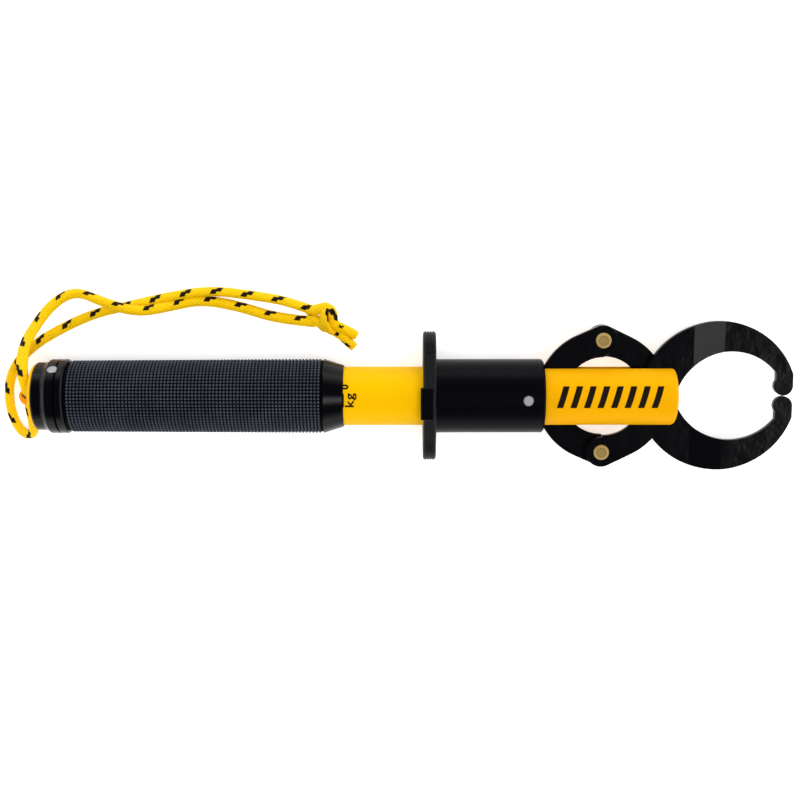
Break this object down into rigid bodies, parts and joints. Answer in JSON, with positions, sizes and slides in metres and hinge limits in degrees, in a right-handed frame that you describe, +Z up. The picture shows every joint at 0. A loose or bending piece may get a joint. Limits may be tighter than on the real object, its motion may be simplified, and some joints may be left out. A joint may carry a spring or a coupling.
{
  "type": "fishing lip grip",
  "caption": "Fishing lip grip with sprung crossed claws opened by finger wings, a sliding spring-scale barrel, a studded rubber handle and a braided wrist lanyard.",
  "frame": {"origin": "middle of the bounding box of the tool without its lanyard, on the surface it lies on", "axes": "+X from the handle to the claws along the long axis, +Y across the jaw plane, +Z up; the long axis is 12.6 mm above the surface and the claws open in the XY plane"},
  "size_m": [0.271, 0.0618, 0.0254],
  "materials": {
    "amber_aluminium": "amber anodised, satin",
    "orange_aluminium": "orange anodised, satin",
    "grip_rubber": "moulded with small square studs",
    "black_plastic": "satin black moulding",
    "black_paint": "gloss black paint on steel plate",
    "brass": "polished",
    "bright_steel": "turned",
    "spring_steel": "drawn wire",
    "tube_aluminium": "drawn tube",
    "nylon": "natural nylon",
    "cord_braid": "braided polyester with dark tracer"
  },
  "bodies": {
    "handle": {"handle_tube": "tube_aluminium", "grip_sleeve": "grip_rubber", "nose_ring": "black_plastic", "nose_bush": "nylon", "rear_collar": "black_plastic", "collar_screws": "bright_steel", "end_cap": "amber_aluminium", "end_plug": "tube_aluminium", "lanyard_eye": "orange_aluminium", "eye_nut": "bright_steel", "scale_spring": "spring_steel", "cord_leg_over": "cord_braid", "cord_leg_under": "cord_braid", "lanyard_knot": "cord_braid", "lanyard_tails": "cord_braid"},
    "barrel": {"scale_barrel": "amber_aluminium", "barrel_stop_ring": "nylon", "link_fork": "tube_aluminium", "fork_pin": "bright_steel", "plug_pin": "bright_steel", "spring_eye": "bright_steel", "jaw_spring": "spring_steel"},
    "trigger": {"jaw_head": "amber_aluminium", "slide_sleeve": "black_plastic", "finger_wings": "black_plastic", "wings_key": "black_plastic", "sleeve_pins": "bright_steel", "pivot_pin": "bright_steel"},
    "jaw_a": {"jaw_upper": "black_paint", "rivet_lower": "brass"},
    "jaw_b": {"jaw_lower": "black_paint", "rivet_upper": "brass"},
    "link_a": {"link_upper": "black_paint"},
    "link_b": {"link_lower": "black_paint"}
  },
  "joints": [
    {"name": "scale_slide", "type": "slide", "parent": "handle", "child": "barrel", "axis": [1, 0, 0], "range_m": [0, 0.045], "stiffness_N_per_m": 3270, "springref_m": -0.002, "deforming": ["scale_spring"]},
    {"name": "trigger_slide", "type": "slide", "parent": "barrel", "child": "trigger", "axis": [-1, 0, 0], "range_m": [0, 0.016], "stiffness_N_per_m": 700, "springref_m": -0.012, "deforming": ["jaw_spring"]},
    {"name": "jaw_a_hinge", "type": "hinge", "parent": "trigger", "child": "jaw_a", "pos_m": [0.087, 0, 0.0126], "axis": [0, 0, 1], "range_deg": [0, 20.58]},
    {"name": "jaw_b_hinge", "type": "hinge", "parent": "trigger", "child": "jaw_b", "pos_m": [0.087, 0, 0.0126], "axis": [0, 0, -1], "range_deg": [0, 20.58]},
    {"name": "link_a_hinge", "type": "hinge", "parent": "jaw_b", "child": "link_a", "pos_m": [0.0665, 0.01905, 0.0126], "axis": [0, 0, 1], "range_deg": [0, 41.16]},
    {"name": "link_b_hinge", "type": "hinge", "parent": "jaw_a", "child": "link_b", "pos_m": [0.0665, -0.01905, 0.0126], "axis": [0, 0, -1], "range_deg": [0, 41.16]}
  ],
  "couplings": [
    {"joint": "jaw_a_hinge", "follows": "trigger_slide", "rad_per_m": 22.438},
    {"joint": "jaw_b_hinge", "follows": "trigger_slide", "rad_per_m": 22.438},
    {"joint": "link_a_hinge", "follows": "trigger_slide", "rad_per_m": 44.876},
    {"joint": "link_b_hinge", "follows": "trigger_slide", "rad_per_m": 44.876}
  ]
}
